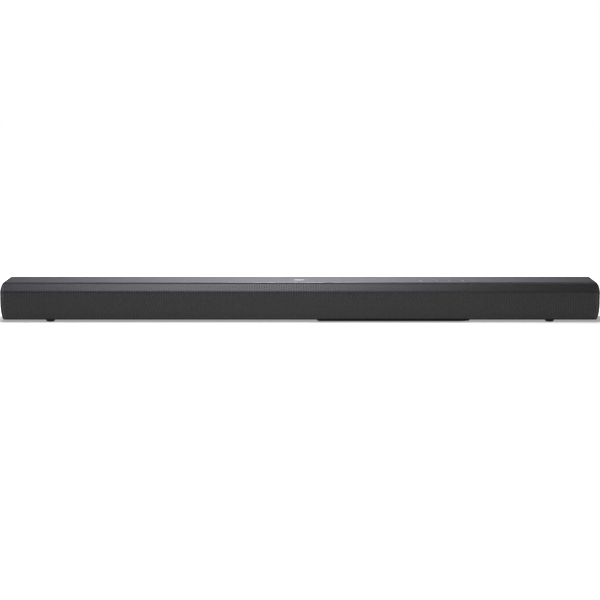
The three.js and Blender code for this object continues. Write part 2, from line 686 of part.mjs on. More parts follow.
function chip(x, y, width, depth, height) {
  return box(x, x + width, y, y + depth, BOARD_TOP - 0.5, BOARD_TOP + height);
}

function mainBoard() {
  const sheet = box(50, 165, -24.5, 23.5, BOARD_BOTTOM, BOARD_TOP);
  const capacitors = [0, 1, 2, 3].map((i) => capacitor(146, -20 + i * 9, 3.4, 12));
  return join(
    sheet, ...capacitors,
    chip(58, -22, 16, 16, 1.6), chip(82, 6, 12, 12, 1.4), chip(124, -23, 9, 22, 5),
    chip(126, 8, 14, 8, 2), chip(54, 0, 6, 12, 6),
  );
}

function powerBoard() {
  const sheet = box(172, 236, -24.5, 23.5, BOARD_BOTTOM, BOARD_TOP);
  return join(
    sheet,
    capacitor(184, -18, 6.5, 25), capacitor(181, 12, 4, 16), capacitor(226, -20, 4.5, 18),
    capacitor(226, -8, 4.5, 18), chip(208, 13, 18, 7, 9), chip(192, 10, 8, 10, 6),
  );
}

function transformer() {
  const low = BOARD_TOP + GAP;
  const [x, y] = [205, -4];
  const core = cut(
    box(x - 14, x + 14, y - 11, y + 11, low, low + 24),
    box(x - 9, x + 9, y - 12, y + 12, low + 5, low + 19),
  );
  const winding = prism(rectangle(x - 8, y - 13.5, x + 8, y + 13.5, 4), 'z', low + 4, low + 20, 3);
  return join(core, winding);
}

function heatSink() {
  const low = BOARD_TOP + GAP;
  const base = box(82, 116, -24, 0, low, low + 4);
  const fins = Array.from({ length: 7 }, (_, i) => box(
    82 + i * 5.4, 83.6 + i * 5.4, -24, 0, low + 3, low + 22));
  return join(base, ...fins);
}

function lead(points, radius) {
  const route = new THREE.CatmullRomCurve3(points.map((p) => new THREE.Vector3(...p)));
  const section = new THREE.Shape().absarc(0, 0, radius, 0, 2 * Math.PI, false);
  return solid(new THREE.ExtrudeGeometry(section, {
    steps: points.length * 3,
    curveSegments: 3,
    extrudePath: route,
  }));
}

// ---------------------------------------------------------------- loudspeakers

// Everything in a loudspeaker is drawn about its own axis, with Y measured in the bar's frame.
const FLANGE_FACE = FRONT + BAFFLE_SETBACK + WALL + GAP;

function wooferFrame() {
  const basket = ringSkin([
    racetrackRing(106, 37, FLANGE_FACE),
    racetrackRing(106, 37, FLANGE_FACE + 2),
    racetrackRing(97, 36, FLANGE_FACE + 2),
    racetrackRing(62, 34, -13),
    racetrackRing(26, 26, -13),
    racetrackRing(26, 26, -14.5),
    racetrackRing(58, 31, -14.5),
    racetrackRing(92, 33, FLANGE_FACE + 3),
    racetrackRing(92, 33, FLANGE_FACE),
  ]);
  const windows = [-26, 8].map((x) => box(x, x + 18, -29, -18, -20, 20));
  return cut(basket, ...windows);
}

function wooferMagnet() {
  return turned([
    [11.2, -12.7], [18, -12.7], [18, -8.7], [17, -8.7], [17, 2.5], [18, 2.5], [18, 7], [0, 7], [0, -13.5],
    [9.4, -13.5], [9.4, 2], [11.2, 2], [11.2, -12.7],
  ], 'y');
}

// Cone, voice coil former and dust cap, glued up as one.
function wooferCone() {
  const cone = ringSkin([
    racetrackRing(81.8, 23.8, -34.8),
    racetrackRing(20, 20, -24),
    racetrackRing(20, 20, -5),
    racetrackRing(21.2, 21.2, -5),
    racetrackRing(21.2, 21.2, -22.6),
    racetrackRing(81.8, 23.8, -33.8),
  ]);
  const dustCap = turned([
    [0, -29], [5.6, -27.9], [10.3, -23.6], [9.4, -23.4], [5.2, -27.2], [0, -28.2],
  ], 'y');
  return join(cone, dustCap);
}

function halfRoll(inner, outer, base, rise, thickness) {
  const rings = [];
  const steps = 4;
  const ring = (t, lift) => racetrackRing(
    inner[0] + (outer[0] - inner[0]) * t, inner[1] + (outer[1] - inner[1]) * t, base - lift);
  for (let i = 0; i <= steps; i += 1) {
    rings.push(ring(i / steps, rise * Math.sin((Math.PI * i) / steps) + thickness));
  }
  for (let i = steps; i >= 0; i -= 1) {
    rings.push(ring(i / steps, Math.max(rise * Math.sin((Math.PI * i) / steps) - 0.01, 0)));
  }
  return ringSkin(rings);
}

function wooferSurround() {
  return halfRoll([82.4, 24.4], [91.4, 32.4], -34, 2.6, 0.7);
}

// A corrugated disc that centres the voice coil in the basket.
function wooferSpider() {
  const rings = [];
  const steps = 4;
  const ring = (i, y) => racetrackRing(21.9 + (36.1 * i) / steps, 21.9 + (7.1 * i) / steps, y);
  for (let i = 0; i <= steps; i += 1) rings.push(ring(i, -17.4 + (i % 2) * 0.9));
  for (let i = steps; i >= 0; i -= 1) rings.push(ring(i, -17.9 + (i % 2) * 0.9));
  return ringSkin(rings);
}

function tweeterFrame() {
  return turned([
    [11.6, FLANGE_FACE], [15.4, FLANGE_FACE], [15.4, FLANGE_FACE + 2], [12.5, FLANGE_FACE + 2],
    [12.5, -18], [0, -18], [0, -28.5], [7.2, -28.5], [7.2, -24], [9.2, -24], [9.2, -31], [11.6, -31],
    [11.6, FLANGE_FACE],
  ], 'y');
}

// Soft dome with its rolled edge and a short voice coil former.
function tweeterDome() {
  return turned([
    [0, -36.2], [4.6, -35.3], [8.5, -32.2], [9.8, -33.2], [11.1, -32.2], [11.1, -31.7], [9.8, -32.6],
    [8.5, -31.6], [8.5, -27.5], [7.9, -27.5], [7.9, -31.6], [4.3, -34.7], [0, -35.6],
  ], 'y');
}

function addLoudspeakers(side, x) {
  const woofer = new THREE.Group();
  woofer.position.set(x * WOOFER_X, 0, WOOFER_HEIGHT);
  add(`${side}_woofer_frame`, wooferFrame(), 'screw', woofer);
  add(`${side}_woofer_magnet`, wooferMagnet(), 'steel', woofer);
  add(`${side}_woofer_cone`, wooferCone(), 'paper', woofer);
  add(`${side}_woofer_surround`, wooferSurround(), 'rubber', woofer);
  add(`${side}_woofer_spider`, wooferSpider(), 'cloth', woofer);
  const tweeter = new THREE.Group();
  tweeter.position.set(x * TWEETER_X, 0, TWEETER_HEIGHT);
  add(`${side}_tweeter_frame`, tweeterFrame(), 'screw', tweeter);
  add(`${side}_tweeter_dome`, tweeterDome(), 'silk', tweeter);
  soundbar.add(woofer, tweeter);
}

// ---------------------------------------------------------------- assembly

function placed(piece, x, y, z) {
  return piece.translate([x, y, z]);
}

add('top_cover', topCover(), 'cover');
add('rear_cabinet', rearCabinet(), 'cabinet');
add('front_baffle', frontBaffle(), 'cabinet');
add('front_grille', frontGrille(), 'grille');
add('left_end_cap', endCap(-1), 'cap');
add('right_end_cap', endCap(1), 'cap');
add('electronics_tray', electronicsTray(), 'cap');
add('top_badge', prism(badgeOutline(0), 'z', HEIGHT - 0.5, HEIGHT, 4), 'badge');
add('connector_panel', connectorPanel(), 'cabinet');
add('left_wall_plate', wallPlate(-WALL_PLATE_X), 'steel');
add('right_wall_plate', wallPlate(WALL_PLATE_X), 'steel');
add('left_rear_insert', rearInsert(-1), 'cabinet');
add('right_rear_insert', rearInsert(1), 'cabinet');

const corners = ['front_left', 'front_right', 'rear_left', 'rear_right'];
corners.forEach((corner, i) => {
  add(`${corner}_foot`, placed(foot(), ...footPlaces()[i], 0), 'rubber');
  add(`${corner}_case_screw`, placed(caseScrew(), ...CASE_SCREWS[i], CASE_SCREW_SEAT - 2.5), 'screw');
  add(`${corner}_tray_screw`, placed(trayScrew(), ...TRAY_SCREWS[i], 2.4), 'screw');
});

Object.entries(KEYS).forEach(([name, x]) => add(name, placed(key(), x, KEY_Y, 0), 'key'));
add('key_board', keyBoard(), 'board');
add('indicator_board', indicatorBoard(), 'board');
add('light_guide', lightGuide(), 'smoked');

add('video_socket', videoSocket(), 'steel');
add('service_socket', serviceSocket(), 'steel');
add('optical_socket', opticalSocket(), 'socket');
add('optical_shutter', opticalShutter(), 'socket');
add('audio_socket', audioSocket(), 'socket');
add('power_inlet', powerInlet(), 'socket');

add('main_board', mainBoard(), 'board');
add('power_board', powerBoard(), 'board');
add('transformer', transformer(), 'ferrite');
add('amplifier_heat_sink', heatSink(), 'aluminium');

addLoudspeakers('left', -1);
addLoudspeakers('right', 1);

add('left_speaker_lead', lead([
  [49, 6, 17], [36, 9, 12], [0, 10, 11], [-46, 10, 10.5], [-130, 8, 9], [-220, 4, 9], [-276, -8, 10],
  [-284, -16, 16],
], 1.3), 'cable');
add('right_speaker_lead', lead([
  [167, 16, 18], [168, 25, 13], [200, 25.5, 10.5], [240, 21, 10], [262, 16, 10], [276, 2, 10],
  [284, -16, 16],
], 1.3), 'cable');

export default soundbar;
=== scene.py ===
"""The looks of a slim television soundbar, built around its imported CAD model.

The bar's lengths are in millimetres until a mesh is made, and the studio's are in metres. +X runs along
the bar, -Y is the front and +Z is up.
"""

import json
import math

import bpy
import numpy as np
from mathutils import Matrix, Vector
from mathutils.geometry import delaunay_2d_cdt


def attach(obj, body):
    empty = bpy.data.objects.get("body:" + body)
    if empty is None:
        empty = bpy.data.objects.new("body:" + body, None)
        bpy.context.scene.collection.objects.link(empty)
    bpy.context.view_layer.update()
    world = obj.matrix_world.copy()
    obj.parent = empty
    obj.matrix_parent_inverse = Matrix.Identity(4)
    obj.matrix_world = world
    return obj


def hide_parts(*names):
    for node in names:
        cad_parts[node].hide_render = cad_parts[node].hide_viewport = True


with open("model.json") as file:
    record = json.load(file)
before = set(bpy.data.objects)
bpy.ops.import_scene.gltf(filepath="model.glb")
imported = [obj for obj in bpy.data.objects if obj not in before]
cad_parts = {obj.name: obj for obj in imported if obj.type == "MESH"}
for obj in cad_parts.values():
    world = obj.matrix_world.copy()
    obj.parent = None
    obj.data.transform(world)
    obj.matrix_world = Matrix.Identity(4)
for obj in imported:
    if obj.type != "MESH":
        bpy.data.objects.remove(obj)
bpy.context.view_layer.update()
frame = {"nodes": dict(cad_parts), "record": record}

MM = 0.001

# The casing's outline.
LENGTH, DEPTH, HEIGHT = 900, 86, 60
HALF, FRONT, BACK = LENGTH / 2, -DEPTH / 2, DEPTH / 2
ENDS = {"left": -1, "right": 1}
WALL, GAP = 2.5, 0.3
BODY_BOTTOM = 4.4
LIP_TOP = 6.1
CREASE_HEIGHT = 46.8
BEVEL_DEPTH, BEVEL_RISE = 8, 10.5
NOSE_Y = FRONT + BEVEL_DEPTH

# The ends draw in above one height and below another, each as a quarter of an ellipse.
END_UPPER = {"width": 6.5, "height": 14, "centre": CREASE_HEIGHT}
END_LOWER = {"width": 7, "height": 28, "centre": 31}

# Radii of the casing's long edges.
LOWER_RADIUS = 2
CREASE_RADIUS = 6
BEVEL_TOP_RADIUS = 0.2
NOSE_RADIUS = 1.1
REAR_RADIUS = 0.6

# Widths of the small bevels, and angles in degrees from which an edge has one or is shaded sharp.
CAP_EDGE = {"width": 0.3, "angle": 50}
CAD_EDGE = {"width": 0.25, "angle": 40}
SHARP_ANGLE = 35

# The grille's perforation: columns of hexagonal holes, each column half a pitch off the last.
SHEET = 1.0
HOLE_PITCH = 2.93
COLUMN_STEP = HOLE_PITCH * math.sqrt(3) / 2
HOLE_RADIUS = 1.2
PLAIN_BORDER = 0.4
CLOTH = {"gap": 0.05, "thickness": 0.2}

# How far apart the points are along the folded sheets' edges.
GRILLE_STEP, COVER_STEP, SIDE_STEP = 9, 12, 1.5

# The keys and the badge, which lie in the top cover. A dish's steps are their distances from the key's
# edge and below its top, and "sunk" and "foot" are a sign's top and bottom, below the cover's top.
KEY_X = {"power_key": 183, "volume_down_key": 207.5, "volume_up_key": 226, "source_key": 246}
KEY_Y = -11
KEY_SIZE = (15.4, 8.4)
KEY_CORNER = 1.7
KEY_EDGE = 0.45
KEY_FLANGE = {"margin": 1, "thickness": 1.4}
KEY_STEM = {"radius": 1.5, "foot": 52.7}
KEY_DISH = [(0.9, 0.03), (1.6, 0.1), (3.2, 0.16)]
MARK = {"stroke": 0.7, "reach": 2.0, "sunk": 0.06, "foot": 0.3}
BADGE = {"centre": (-1.5, -1.5), "size": (15, 7), "corner": 2, "thickness": 0.5, "seat": 0.8, "edge": 0.2}

# The back wall's mouldings. The left and right ones mirror each other. The flange's front, the cup's depth
# and rim, and the second value of each (radius, distance) pair of the flare are distances from the back.
REAR_INSERT = {"inner": 330, "outer": 424, "low": 12.5, "high": 49.5, "corner": 4, "thickness": 3}
FLANGE = {"lap": 1.5, "front": 4.2}
PORT = {"x": 400, "z": 31, "bore": 13, "mouth": 15.6, "wall": 2, "front": -4}
PORT_FLARE = [(15.35, 0.3), (14.7, 0.9), (14, 1.7), (13.5, 2.8), (13.15, 4.2), (13, 6)]
WALL_PLATE = {"x": 350, "z": 31, "width": 24, "height": 28, "corner": 1.5, "thickness": 1.5}
CUP = {"depth": 10, "floor": 1.5, "lip": 3, "margin": 1.5, "rim": 0.4}
KEYHOLE = {"entry": 4.5, "slot": 2.3, "rise": 10.7, "drop": 5}

# The studio. Lights are placed in metres and have powers in watts.
LAMP_COLOUR = (0.963, 0.966, 1.062)
LIGHTS = {
    "overhead": {"place": (-0.19, -0.62, 1.5), "target": (0, 0, 0), "size": (0.62, 0.6), "power": 21.5},
    "backdrop": {
        "place": (-0.03, 2.0, 0.31), "target": (-0.03, 0, 0.1), "size": (2.6, 0.5), "power": 5.5,
        "bell": 0.46,
    },
    "hair": {"place": (-0.02, 0.5, 0.95), "target": (0, 0, 0), "size": (0.16, 0.32), "power": 17},
    "front": {"place": (-0.02, -0.85, 0.6), "target": (0, 0, 0), "size": (0.4, 0.25), "power": 1.8},
}
FLOOR = {"half": 9, "near_glow": 0.37, "far_glow": 1.0, "near": 0.55, "far": 1.3}
CAMERA = {"lens": 110.05, "distance": 2.73, "height": 0.381, "aim_height": 0.0289}


# ---------------------------------------------------------------- outlines

def half_length(z, margin=0.0):
    """Half the bar's length at each height, drawn in by a margin."""
    z = np.asarray(z, float)
    low = np.clip((END_LOWER["centre"] - z) / END_LOWER["height"], 0, 1)
    high = np.clip((z - END_UPPER["centre"]) / END_UPPER["height"], 0, 1)
    lower = END_LOWER["width"] * (1 - np.sqrt(1 - low ** 2))
    upper = END_UPPER["width"] * (1 - np.sqrt(1 - high ** 2))
    return HALF - lower - upper - margin


def rounded_line(corners, steps=8):
    """A line round (y, z, radius) corners, as rows of length so far, y, z and the normal on its right."""
    points = [np.array(corners[0][:2], float)]
    normals = []
    for before, corner, after in zip(corners, corners[1:], corners[2:]):
        here = np.array(corner[:2], float)
        back = np.array(before[:2], float) - here
        ahead = np.array(after[:2], float) - here
        back /= np.linalg.norm(back)
        ahead /= np.linalg.norm(ahead)
        half_angle = math.acos(float(back @ ahead)) / 2
        reach = corner[2] / math.tan(half_angle)
        centre = here + (back + ahead) / np.linalg.norm(back + ahead) * corner[2] / math.sin(half_angle)
        start, end = here + back * reach - centre, here + ahead * reach - centre
        turn = math.pi - 2 * half_angle
        for share in np.linspace(0, 1, steps + 1):
            spoke = math.sin((1 - share) * turn) * start + math.sin(share * turn) * end
            spoke /= math.sin(turn)
            points.append(centre + spoke)
            normals.append(spoke / corner[2])
    points.append(np.array(corners[-1][:2], float))
    rows = np.array(points)
    normals = np.array([normals[0], *normals, normals[-1]])
    along = np.concatenate([[0], np.cumsum(np.linalg.norm(np.diff(rows, axis=0), axis=1))])
    return np.column_stack([along, rows, normals])


def on_line(line, along):
    """y, z and the normal's y and z at lengths along a rounded line."""
    return [np.interp(along, line[:, 0], line[:, i]) for i in range(1, 5)]


def rounded_rectangle(width, depth, corner, steps=6):
    """Counter-clockwise points of a rectangle with round corners, about its own centre."""
    points = []
    for quarter, (sx, sy) in enumerate([(1, 1), (-1, 1), (-1, -1), (1, -1)]):
        x, y = sx * (width / 2 - corner), sy * (depth / 2 - corner)
        for angle in np.linspace(quarter, quarter + 1, steps + 1) * math.pi / 2:
            points.append((x + corner * math.cos(angle), y + corner * math.sin(angle)))
    return np.array(points)


def bar(x0, y0, x1, y1):
    """The corners of an upright rectangle."""
    return [(x0, y0), (x1, y0), (x1, y1), (x0, y1)]


def circle(x, z, radius, segments=72):
    """Points round a circle."""
    angles = np.arange(segments) * 2 * math.pi / segments
    return np.column_stack([x + radius * np.cos(angles), z + radius * np.sin(angles)])


def at_height(flat, z):
    """Flat (x, y) points, raised to a height."""
    return np.column_stack([flat, np.full(len(flat), z)])


def at_depth(flat, y):
    """Upright (x, z) points, at a depth."""
    return np.column_stack([flat[:, 0], np.full(len(flat), y), flat[:, 1]])


# ---------------------------------------------------------------- meshes

def add_piece(name, points, faces, material, body="casing", replaces=(), edge=None):
    """A new object from points in millimetres, which rides on a body and may stand for CAD nodes.

    An edge is the width of the bevel that the object gets, and the angle from which its edges get it.
    """
    mesh = bpy.data.meshes.new(name)
    mesh.from_pydata((np.asarray(points, float) * MM).tolist(), [], [list(map(int, f)) for f in faces])
    shade_smooth(mesh)
    mesh.materials.append(material)
    piece = bpy.data.objects.new(name, mesh)
    bpy.context.scene.collection.objects.link(piece)
    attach(piece, body)
    if replaces:
        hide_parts(*replaces)
    if edge:
        add_edges(piece, **edge)
    shade_flats(piece)


def shade_smooth(mesh):
    """Shade a mesh smooth between its sharp edges."""
    mesh.polygons.foreach_set("use_smooth", [True] * len(mesh.polygons))
    mesh.set_sharp_from_angle(angle=math.radians(SHARP_ANGLE))


def shade_flats(piece):
    """Let the broad faces set the shading, so that flat areas look flat and only the edges turn."""
    shading = piece.modifiers.new("shading", "WEIGHTED_NORMAL")
    shading.keep_sharp = True


def add_edges(piece, width, angle):
    """Round the piece's edges that are sharper than an angle, over a width in millimetres."""
    bevel = piece.modifiers.new("edges", "BEVEL")
    bevel.width = width * MM
    bevel.segments = 2
    bevel.limit_method = "ANGLE"
    bevel.angle_limit = math.radians(angle)
    bevel.use_clamp_overlap = False


def loft(rings):
    """Points and faces of a solid through rings of equally many points, closed at both ends."""
    count = len(rings[0])
    faces = [list(reversed(range(count)))]
    for i in range(len(rings) - 1):
        for j in range(count):
            k = (j + 1) % count
            faces.append([i * count + j, i * count + k, (i + 1) * count + k, (i + 1) * count + j])
    faces.append([(len(rings) - 1) * count + j for j in range(count)])
    return np.concatenate(rings), faces


def facing_out(points, faces):
    """The faces, turned over if the solid that they close is inside out."""
    volume = 0
    for face in faces:
        for b, c in zip(face[1:], face[2:]):
            volume += points[face[0]] @ np.cross(points[b], points[c])
    return faces if volume > 0 else [face[::-1] for face in faces]


def joined(solids):
    """The points and faces of several solids as one mesh."""
    points, faces, count = [], [], 0
    for solid_points, solid_faces in solids:
        faces += [[i + count for i in face] for face in facing_out(solid_points, solid_faces)]
        points.append(solid_points)
        count += len(solid_points)
    return np.concatenate(points), faces


def turned_ring(profile, centre, segments=72):
    """A ring about an axis along Y through (x, z), from its (radius, y) section."""
    angles = np.arange(segments) * 2 * math.pi / segments
    x, z = centre
    rings = [[(x + r * math.cos(a), y, z + r * math.sin(a)) for r, y in profile] for a in angles]
    count = len(profile)
    faces = []
    for i in range(segments):
        for j in range(count):
            here, ahead = i * count, (i + 1) % segments * count
            faces.append([here + j, here + (j + 1) % count, ahead + (j + 1) % count, ahead + j])
    return np.array(rings).reshape(-1, 3), faces


def encloses(outline, point):
    """Whether a flat point lies inside an outline."""
    x, y = point
    inside = False
    for (x0, y0), (x1, y1) in zip(outline, outline[1:] + outline[:1]):
        if (y0 > y) != (y1 > y) and x < x0 + (y - y0) * (x1 - x0) / (y1 - y0):
            inside = not inside
    return inside


def triangulated(outline, loops, lines):
    """Flat points, triangles that keep every outline and line, and the loop of each point, or -1."""
    flat, edges, loop_of = [], [], []

    def draw(points, closed, loop):
        first = len(flat)
        flat.extend(map(Vector, np.asarray(points, float).tolist()))
        loop_of.extend([loop] * len(points))
        edges.extend((i, i + 1) for i in range(first, len(flat) - 1))
        if closed:
            edges.append((len(flat) - 1, first))

    draw(outline, True, -1)
    for points in lines:
        draw(points, False, -1)
    for loop, points in enumerate(loops):
        draw(points, True, loop)
    made, _, triangles, sources, _, _ = delaunay_2d_cdt(flat, edges, [], 1, 1e-5)
    on_loop = np.array([max(loop_of[i] for i in s) if s else -1 for s in sources])
    return np.array([tuple(v) for v in made]), np.array(triangles), on_loop


def loops_round(flat, triangles, on_loop, loops):
    """The loop that encloses each triangle, or -1. Such a triangle has all its corners on the loop."""
    corners = on_loop[triangles]
    enclosing = np.where((corners == corners[:, :1]).all(1), corners[:, 0], -1)
    for i in np.flatnonzero(enclosing >= 0):
        if not encloses(loops[enclosing[i]], flat[triangles[i]].mean(0)):
            enclosing[i] = -1
    return enclosing


def edge_walls(skin, on_loop, first_pocket, count):
    """Faces from the outer skin's free edges to the inner skin, or from a pocket's edges to its floor."""
    used = {(a, b) for t in skin for a, b in ((t[0], t[1]), (t[1], t[2]), (t[2], t[0]))}
    walls = []
    for a, b in sorted(used):
        if (b, a) not in used:
            in_pocket = on_loop[a] == on_loop[b] and on_loop[a] >= first_pocket
            level = 2 * count if in_pocket else count
            walls.append((b, a, a + level, b + level))
    return walls


def plate(outline, holes, inner_lines, outer, inner, pockets=(), floor=None):
    """Points and faces of a sheet.

    Its outline, holes, pockets and lines are drawn flat. Then outer and inner turn flat points into the
    points of its two skins, and floor turns them into the bottoms of its pockets.
    """
    loops = [np.asarray(points, float).tolist() for points in (*holes, *pockets)]
    flat, triangles, on_loop = triangulated(outline, loops, inner_lines)
    enclosing = loops_round(flat, triangles, on_loop, loops)
    skin, pocket = triangles[enclosing < 0], triangles[enclosing >= len(holes)]
    count = len(flat)
    points = [outer(flat), inner(flat)]
    if len(pockets):
        points.append(floor(flat))
    faces = [tuple(t) for t in skin]
    faces += [(a + count, c + count, b + count) for a, b, c in np.concatenate([skin, pocket])]
    faces += [(a + 2 * count, b + 2 * count, c + 2 * count) for a, b, c in pocket]
    faces += edge_walls(skin, on_loop, len(holes), count)
    return drop_loose(np.concatenate(points), faces)


def drop_loose(points, faces):
    """The same points and faces, without the points that no face uses."""
    kept = np.unique(np.concatenate([np.asarray(f) for f in faces]))
    number = np.zeros(len(points), int)
    number[kept] = np.arange(len(kept))
    return points[kept], [number[list(f)] for f in faces]


def level_line(line, along, margin, step):
    """A flat line across the sheet at one length along its fold, from end to end."""
    reach = float(half_length(on_line(line, along)[1], margin))
    count = max(int(2 * reach / step), 1)
    return [(x, along) for x in np.linspace(-reach, reach, count + 1)]


def fold_outline(line, margin, step):
    """The flat outline of a folded sheet whose ends follow the casing's."""
    least_step = 0.02
    along = np.unique(np.round(np.concatenate([line[:, 0], np.arange(0, line[-1, 0], SIDE_STEP)]), 4))
    along = along[np.concatenate([[True], np.diff(along) > least_step])]
    side = [(float(half_length(on_line(line, s)[1], margin)), s) for s in along]
    bottom = level_line(line, along[0], margin, step)
    top = level_line(line, along[-1], margin, step)
    other_side = [(-x, s) for x, s in side[::-1]]
    return bottom[:-1] + side[:-1] + top[::-1][:-1] + other_side[:-1]


def bend_lines(line, margin, step):
    """Flat lines across the folded sheet, one at each step of its bends."""
    return [level_line(line, along, margin, step) for along in np.round(line[1:-1, 0], 4)]


# ---------------------------------------------------------------- materials

def new_material(name, colour, roughness, metallic=0.0, level=0.5):
    """A material whose Principled shader has one colour and gloss to start from."""
    material = bpy.data.materials.new(name)
    material.use_nodes = True
    shader = material.node_tree.nodes["Principled BSDF"]
    shader.inputs["Base Color"].default_value = (*colour, 1)
    shader.inputs["Roughness"].default_value = roughness
    shader.inputs["Metallic"].default_value = metallic
    shader.inputs["Specular IOR Level"].default_value = level
    return material


def node(material, kind, inputs=None, **settings):
    """A new shader node. An input is another node's output, which is linked, or a plain value."""
    made = material.node_tree.nodes.new("ShaderNode" + kind)
    for key, value in settings.items():
        setattr(made, key, value)
    for key, value in (inputs or {}).items():
        if isinstance(value, bpy.types.NodeSocket):
            material.node_tree.links.new(value, made.inputs[key])
        else:
            made.inputs[key].default_value = value
    return made


def feed(material, name, socket):
    """Link a node's output to an input of the material's shader."""
    shader = material.node_tree.nodes["Principled BSDF"]
    material.node_tree.links.new(socket, shader.inputs[name])


def object_place(material, stretch=(1, 1, 1)):
    """The place on the object in metres, stretched along each axis."""
    place = node(material, "TexCoord")
    mapping = node(material, "Mapping", {"Vector": place.outputs["Object"], "Scale": stretch})
    return mapping.outputs["Vector"]


def noise(material, size, detail=3.0, stretch=(1, 1, 1)):
    """Smooth random values from 0 to 1, with patches of one size in millimetres."""
    inputs = {"Vector": object_place(material, stretch), "Scale": 1 / (size * MM), "Detail": detail}
    return node(material, "TexNoise", inputs).outputs["Fac"]


def math_node(material, operation, first, second=0.0):
    """The result of one step of arithmetic on outputs or plain values."""
    return node(material, "Math", {0: first, 1: second}, operation=operation).outputs["Value"]


def spread(material, factor, low, high, start=0.3, end=0.7):
    """The factor's middle range spread from low to high."""
    inputs = {"Value": factor, "From Min": start, "From Max": end, "To Min": low, "To Max": high}
    return node(material, "MapRange", inputs).outputs["Result"]


def mix_colours(material, factor, first, second):
    """A colour between two, which a factor takes from the first to the second."""
    mixed = node(material, "Mix", {0: factor}, data_type="RGBA")
    for socket, colour in ((mixed.inputs[6], first), (mixed.inputs[7], second)):
        if isinstance(colour, bpy.types.NodeSocket):
            material.node_tree.links.new(colour, socket)
        else:
            socket.default_value = (*colour, 1)
    return mixed.outputs[2]


def relief(material, height, depth, strength=1.0):
    """Shade the surface as if it were raised by the height's value times a depth in millimetres."""
    bump = node(material, "Bump", {"Height": height, "Strength": strength, "Distance": depth * MM})
    feed(material, "Normal", bump.outputs["Normal"])


def shade_of(colour, share):
    """The colour, times a share."""
    return tuple(share * channel for channel in colour)


def moulded(name, colour, roughness, level=0.5, texture=0.7, depth=0.02, unevenness=0.12):
    """Moulded plastic or rubber: a spark-eroded texture, and a colour and gloss that drift a little."""
    material = new_material(name, colour, roughness, level=level)
    cloud = noise(material, 38, detail=2)
    darker, lighter = shade_of(colour, 1 - unevenness), shade_of(colour, 1 + unevenness)
    feed(material, "Base Color", mix_colours(material, spread(material, cloud, 0, 1), darker, lighter))
    drift = 0.3 * unevenness
    patches = noise(material, 9, detail=4)
    feed(material, "Roughness", spread(material, patches, roughness - drift, roughness + drift))
    relief(material, noise(material, texture, detail=2), depth)
    return material


def painted(name, colour, roughness, level=0.5):
    """Powder paint on sheet metal, with its fine orange peel."""
    material = new_material(name, colour, roughness, level=level)
    relief(material, noise(material, 0.8, detail=1), depth=0.006, strength=0.6)
    return material


def cabinet_moulding(name, colour, roughness):
    """Textured cabinet plastic, with painted shade at the front: near black there, standing in for the
    shadow on the lip under the grille and inside behind the grille, so that nothing shows through the
    grille.
    """
    material = moulded(name, colour, roughness, level=0.15, texture=1.1, depth=0.03)
    shader = material.node_tree.nodes["Principled BSDF"]
    tint = shader.inputs["Base Color"].links[0].from_socket
    axes = node(material, "SeparateXYZ", {"Vector": object_place(material)})
    # Painted shade: within this depth of the front, the colour drops to 0.15 of the moulding's, for the
    # shadow on the lip and behind the grille.
    painted_shade_depth = 6
    ahead = math_node(material, "LESS_THAN", axes.outputs["Y"], (FRONT + painted_shade_depth) * MM)
    feed(material, "Base Color", mix_colours(material, ahead, tint, shade_of(colour, 0.15)))
    return material


def brushed(name, colour, roughness, stretch, size=0.5):
    """Metal brushed along one axis."""
    material = new_material(name, colour, roughness, metallic=1.0)
    lines = noise(material, size, detail=2, stretch=stretch)
    tint = mix_colours(material, lines, shade_of(colour, 0.82), shade_of(colour, 1.1))
    feed(material, "Base Color", tint)
    feed(material, "Roughness", spread(material, lines, roughness - 0.08, roughness + 0.1))
    relief(material, lines, depth=0.003, strength=0.5)
    return material


def plated(name, colour, roughness, metallic=1.0, level=0.5):
    """Plated or blackened steel, a little blotched."""
    material = new_material(name, colour, roughness, metallic, level)
    blotches = noise(material, 4, detail=5)
    tint = mix_colours(material, blotches, shade_of(colour, 0.78), shade_of(colour, 1.12))
    feed(material, "Base Color", tint)
    patches = noise(material, 1.5, detail=4)
    feed(material, "Roughness", spread(material, patches, roughness - 0.08, roughness + 0.12))
    relief(material, noise(material, 0.4, detail=2), depth=0.005, strength=0.5)
    return material


def circuit_board(name, mask, track, pad):
    """A solder mask over copper tracks, with bare pads."""
    material = new_material(name, mask, 0.4)
    layout = {
        "Vector": object_place(material), "Scale": 1.0, "Brick Width": 9 * MM, "Row Height": 1.7 * MM,
        "Mortar Size": 0.3 * MM, "Mortar Smooth": 0.0,
    }
    tracks = node(material, "TexBrick", layout).outputs["Fac"]
    cells = node(material, "TexVoronoi", {"Vector": object_place(material), "Scale": 1 / (4.5 * MM)})
    pad_reach = 0.16
    pads = math_node(material, "LESS_THAN", cells.outputs["Distance"], pad_reach)
    coated = mix_colours(material, tracks, mask, track)
    feed(material, "Base Color", mix_colours(material, pads, coated, pad))
    feed(material, "Roughness", spread(material, noise(material, 6), 0.32, 0.45))
    relief(material, math_node(material, "MAXIMUM", tracks, pads), depth=0.05)
    return material


def woven(name, colour, roughness, pitch, depth):
    """Cloth: two sets of threads that cross at right angles."""
    material = new_material(name, colour, roughness)
    turns = 2 * math.pi / (pitch * MM)
    axes = node(material, "SeparateXYZ", {"Vector": object_place(material)})
    across = math_node(material, "SINE", math_node(material, "MULTIPLY", axes.outputs["X"], turns))
    along = math_node(material, "SINE", math_node(material, "MULTIPLY", axes.outputs["Z"], turns))
    threads = spread(material, math_node(material, "MULTIPLY", across, along), 0, 1, start=-1, end=1)
    slubs = spread(material, noise(material, 5), 0.8, 1.15)
    uneven = math_node(material, "MULTIPLY", threads, slubs)
    tint = mix_colours(material, uneven, shade_of(colour, 0.45), shade_of(colour, 1.2))
    feed(material, "Base Color", tint)
    relief(material, threads, depth)
    return material


